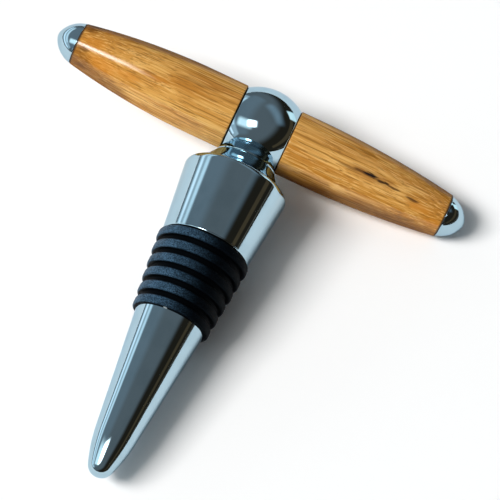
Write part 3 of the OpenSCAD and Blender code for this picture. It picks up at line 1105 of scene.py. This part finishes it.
@dataclass(frozen=True)
class Corkscrew:
    """The hidden worm: a straight shank that winds out to a coil and ends in a point."""

    stud_end: float
    dia: float = 8.0
    wire_dia: float = 2.8
    wire_sides: int = 28
    points: int = 420
    pitch: float = 9.0
    length: float = 44.0
    turns_out: float = 0.5
    shank_held: float = 9.0
    shank_free: float = 1.5
    point_len: float = 7.0
    point_share: float = 0.12

    def build(self, finishes: Finishes) -> None:
        """Winds the wire by a rule of depth and sweeps it.

        Args:
            finishes: The materials.
        """
        coil = self.stud_end + self.shank_free
        rule = ShapeRule("corkscrew_wire", {
            "Points": self.points, "Sides": self.wire_sides, "Start": self.stud_end - self.shank_held,
            "End": coil + self.length, "Coil": coil, "Pitch": self.pitch,
            "Coil radius": (self.dia - self.wire_dia) / 2, "Wire radius": self.wire_dia / 2,
            "Point length": self.point_len, "Point share": self.point_share})
        given = rule.given
        last = rule.maths("SUBTRACT", given["Points"], 1.0)
        share = rule.maths("DIVIDE", rule.shape("InputIndex", {}), last)
        run = rule.maths("SUBTRACT", given["End"], given["Start"])
        depth = rule.maths("MULTIPLY_ADD", share, run, given["Start"])
        wound = rule.maths("MAXIMUM", 0.0, rule.maths("SUBTRACT", depth, given["Coil"]))
        turns = rule.maths("DIVIDE", wound, given["Pitch"])
        eased = rule.fade(turns, Step(0.0, self.turns_out))
        radius = rule.maths("MULTIPLY", eased, given["Coil radius"])
        narrow = rule.maths("DIVIDE", rule.maths("SUBTRACT", given["End"], depth), given["Point length"])
        scale = rule.maths("MAXIMUM", given["Point share"], rule.maths("MINIMUM", 1.0, narrow))
        wire = rule.coil(rule.maths("MULTIPLY", turns, math.tau), radius, depth, scale)
        mesh = rule.run("corkscrew_wire", wire, finishes.steel)
        dressed(mesh, finishes.steel, "handle", "corkscrew_worm")


@dataclass(frozen=True)
class Panel:
    """A soft light far off, as a rectangle seen from the stopper, with its angles in degrees.

    Rays that barely face a panel don't see it: grazing and ahead are the cosines at which that starts.
    """

    name: str
    azimuth: float
    elevation: float
    half_width: float
    half_height: float
    soft: float
    colour: Colour
    slant: float = 0.0
    grazing: float = 0.05
    ahead: Step = Step(0.06, 0.1)

    def turn(self) -> Matrix:
        """Turns Y to face the panel, X along its width and Z along its height.

        Returns:
            The rotation.
        """
        turn = Matrix.Identity(3)
        for angle, axis in ((-self.azimuth, "Z"), (self.elevation, "X"), (self.slant, "Y")):
            turn = turn @ Matrix.Rotation(math.radians(angle), 3, axis)
        return turn

    def share(self, sketch: Sketch, ray: Socket) -> Socket:
        """How much of the panel a ray sees.

        Args:
            sketch: The world's tree.
            ray: Socket of the ray's direction.

        Returns:
            A socket from 0 beside the panel to 1 on it.
        """
        across, facing, over = (sketch.vectors("DOT_PRODUCT", ray, axis) for axis in self.turn().transposed())
        facing = sketch.maths("MAXIMUM", facing, self.grazing)
        seen = sketch.fade(facing, self.ahead)
        for along, half in ((across, self.half_width), (over, self.half_height)):
            off = sketch.maths("ABSOLUTE", sketch.maths("DIVIDE", along, facing))
            edge = math.tan(math.radians(half))
            rim = sketch.fade(off, Step(edge + self.soft, edge - self.soft))
            seen = sketch.maths("MULTIPLY", seen, rim)
        return seen


class Reach(Enum):
    """What a lamp shows on."""

    MATT = "lights matt surfaces, and its glare stays out of the chrome"
    GLOSS = "shows in chrome and lacquer alone"


@dataclass(frozen=True)
class Lamp:
    """A rectangular lamp far off that faces the stopper; its panel's softness is a share of its width."""

    panel: Panel
    watts: float
    reach: Reach
    far: float = 6.0

    def fade_edges(self, data: bpy.types.Light) -> None:
        """Lets the light fall off towards the lamp's edges.

        Args:
            data: The lamp's light.
        """
        data.use_nodes = True
        sketch = Sketch(data.node_tree)
        spot = sketch.add("ShaderNodeNewGeometry").outputs["Parametric"]
        glow, middle = 1.0, 0.5
        for share in sketch.split(spot)[:2]:
            off = sketch.maths("ABSOLUTE", sketch.maths("SUBTRACT", share, middle))
            glow = sketch.maths("MULTIPLY", glow, sketch.fade(off, Step(middle, middle - self.panel.soft)))
        sketch.feed(data.node_tree.nodes["Emission"], {"Strength": glow})

    def build(self) -> None:
        """Hangs the lamp."""
        panel = self.panel
        data = bpy.data.lights.new(panel.name, "AREA")
        data.shape = "RECTANGLE"
        data.size, data.size_y = (
            2 * self.far * math.tan(math.radians(half)) for half in (panel.half_width, panel.half_height))
        data.energy, data.color = self.watts, panel.colour
        if panel.soft:
            self.fade_edges(data)
        lamp = placed(panel.name, data)
        lamp.visible_glossy, lamp.visible_diffuse = self.reach is Reach.GLOSS, self.reach is Reach.MATT
        ahead = Matrix.Translation((0.0, self.far, 0.0)) @ Matrix.Rotation(-math.pi / 2, 4, "X")
        lamp.matrix_world = panel.turn().to_4x4() @ ahead


@dataclass(frozen=True)
class Studio:
    """The pale floor, the soft lights of the room and the photograph's camera."""

    eye: Place = (4.9225, -470.881, -208.760)
    right: Place = (0.90444997, -0.16055883, 0.3952102)
    up: Place = (-0.42650277, -0.32276664, 0.84493614)
    lens: float = 167.94
    sensor: float = 36.0
    clip: Point = (0.01, 20.0)
    floor_half: float = 3.0
    floor_colour: Colour = (0.97, 0.97, 0.97)
    floor_roughness: float = 0.9
    room: Colour = (0.156, 0.166, 0.174)
    room_dark: Colour = (0.024, 0.018, 0.012)
    open_lean: float = -0.8
    open_step: Step = Step(0.02, 0.45)
    lamps: tuple[Lamp, ...] = (
        Lamp(Panel("key_light", -123.0, 49.0, 8.5, 14.0, 0.0, (1.0, 0.975, 0.96), -45.0),
             365.0, Reach.MATT),
        Lamp(Panel("upper_pane", -146.0, 64.5, 10.5, 12.5, 0.42, (1.0, 0.985, 0.98), -45.0),
             280.0, Reach.GLOSS),
    )
    panels: tuple[Panel, ...] = (
        Panel("window", -128.0, 50.0, 10.0, 18.0, 0.10, (1.10, 1.25, 1.25), -45.0),
        Panel("upper pane", -146.0, 64.5, 8.0, 11.5, 0.06, (1.8, 1.8, 1.75), -45.0),
        Panel("side window", -90.0, 17.0, 50.0, 13.0, 0.08, (0.38, 0.46, 0.50)),
        Panel("lower pane", -88.0, 11.0, 45.0, 3.5, 0.04, (0.75, 0.80, 0.85)),
        Panel("window sill", -80.0, 25.0, 35.0, 4.0, 0.04, (0.45, 0.52, 0.55)),
        Panel("left wall", -85.0, 48.0, 55.0, 22.0, 0.25, (0.05, 0.075, 0.095)),
        Panel("back window", 38.0, 9.0, 8.5, 10.0, 0.03, (1.1, 1.3, 1.3)),
        Panel("back wall", 38.0, 50.0, 26.0, 9.0, 0.15, (0.12, 0.17, 0.21)),
        Panel("right shelf", 84.0, 19.0, 50.0, 4.5, 0.02, (0.07, 0.042, 0.020)),
        Panel("right ledge", 82.0, 4.0, 45.0, 1.3, 0.008, (0.10, 0.080, 0.062)),
    )

    def camera(self) -> None:
        """Puts the camera where the photograph was taken from."""
        data = bpy.data.cameras.new("photo_camera")
        data.lens, data.sensor_width, data.sensor_fit = self.lens, self.sensor, "HORIZONTAL"
        data.clip_start, data.clip_end = self.clip
        camera = placed("photo_camera", data)
        right, up = Vector(self.right), Vector(self.up)
        turn = REST.turn().to_3x3() @ Matrix((right, up, right.cross(up))).transposed()
        camera.matrix_world = Matrix.Translation(REST.matrix() @ Vector(self.eye)) @ turn.to_4x4()
        bpy.context.scene.camera = camera

    def floor(self) -> None:
        """Lays the pale floor."""
        half = self.floor_half
        corners = [(-half, -half, 0.0), (half, -half, 0.0), (half, half, 0.0), (-half, half, 0.0)]
        mesh = bpy.data.meshes.new("floor")
        mesh.from_pydata(corners, [], [(0, 1, 2, 3)])
        material, sketch, shader = started("pale_floor")
        sketch.feed(shader, {
            "Base Color": (*self.floor_colour, 1.0),
            "Roughness": self.floor_roughness,
            "Specular IOR Level": 0.0})
        mesh.materials.append(material)
        placed("floor", mesh)

    def lights(self) -> None:
        """Makes the room: a dim slate surround, darker to the right, with soft panels."""
        world = bpy.data.worlds.new("studio")
        world.use_nodes = True
        bpy.context.scene.world = world
        sketch = Sketch(world.node_tree)
        ray = sketch.add("ShaderNodeTexCoord").outputs["Generated"]
        x, _, z = sketch.split(ray)
        open_side = sketch.fade(sketch.maths("MULTIPLY_ADD", x, self.open_lean, z), self.open_step)
        colour = sketch.blend(open_side, self.room_dark, self.room)
        for panel in self.panels:
            colour = sketch.blend(panel.share(sketch, ray), colour, panel.colour, "ADD")
        sketch.feed(world.node_tree.nodes["Background"], {"Color": colour})

    def build(self) -> None:
        """Sets up all of it."""
        bpy.context.scene.view_settings.view_transform = "Standard"
        self.camera()
        self.floor()
        self.lights()
        for lamp in self.lamps:
            lamp.build()


def main() -> None:
    """Builds the stopper around its CAD frame."""
    logging.basicConfig(level=logging.INFO, format="%(message)s")
    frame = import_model()
    Studio().build()
    hub = Hub()
    left = Grip(Run.LEFT, dia=15.2, straight_len=8.0, end_dia=9.5)
    right = Grip(Run.RIGHT, dia=14.9, straight_len=5.0, end_dia=9.9)
    worm, stopper = Corkscrew(hub.stud_end()), Stopper(hub.seam())
    sleeve = RubberSleeve(stopper)
    looks = (
        CHROME,
        LacqueredWood("left_grip_wood", left, LEFT_STREAKS, LEFT_PAINTED_SHADE, toasted=0.90, shift=0.0),
        LacqueredWood("right_grip_wood", right, RIGHT_STREAKS, RIGHT_PAINTED_SHADE, toasted=0.85, shift=40.0),
        BRASS,
        STEEL,
        BlackRubber(sleeve),
    )
    finishes = Finishes(*(look.material() for look in looks))
    for name in ("left_tube", "right_tube"):
        tube = frame["nodes"][name]
        tube.data.materials.clear()
        tube.data.materials.append(finishes.brass)
        log.info("%s: %s", name, finishes.brass.name)
    hub.build(finishes, worm.wire_dia, worm.shank_held)
    for piece in (left, right, stopper, sleeve, worm):
        piece.build(finishes)


if __name__ == "__main__":
    main()
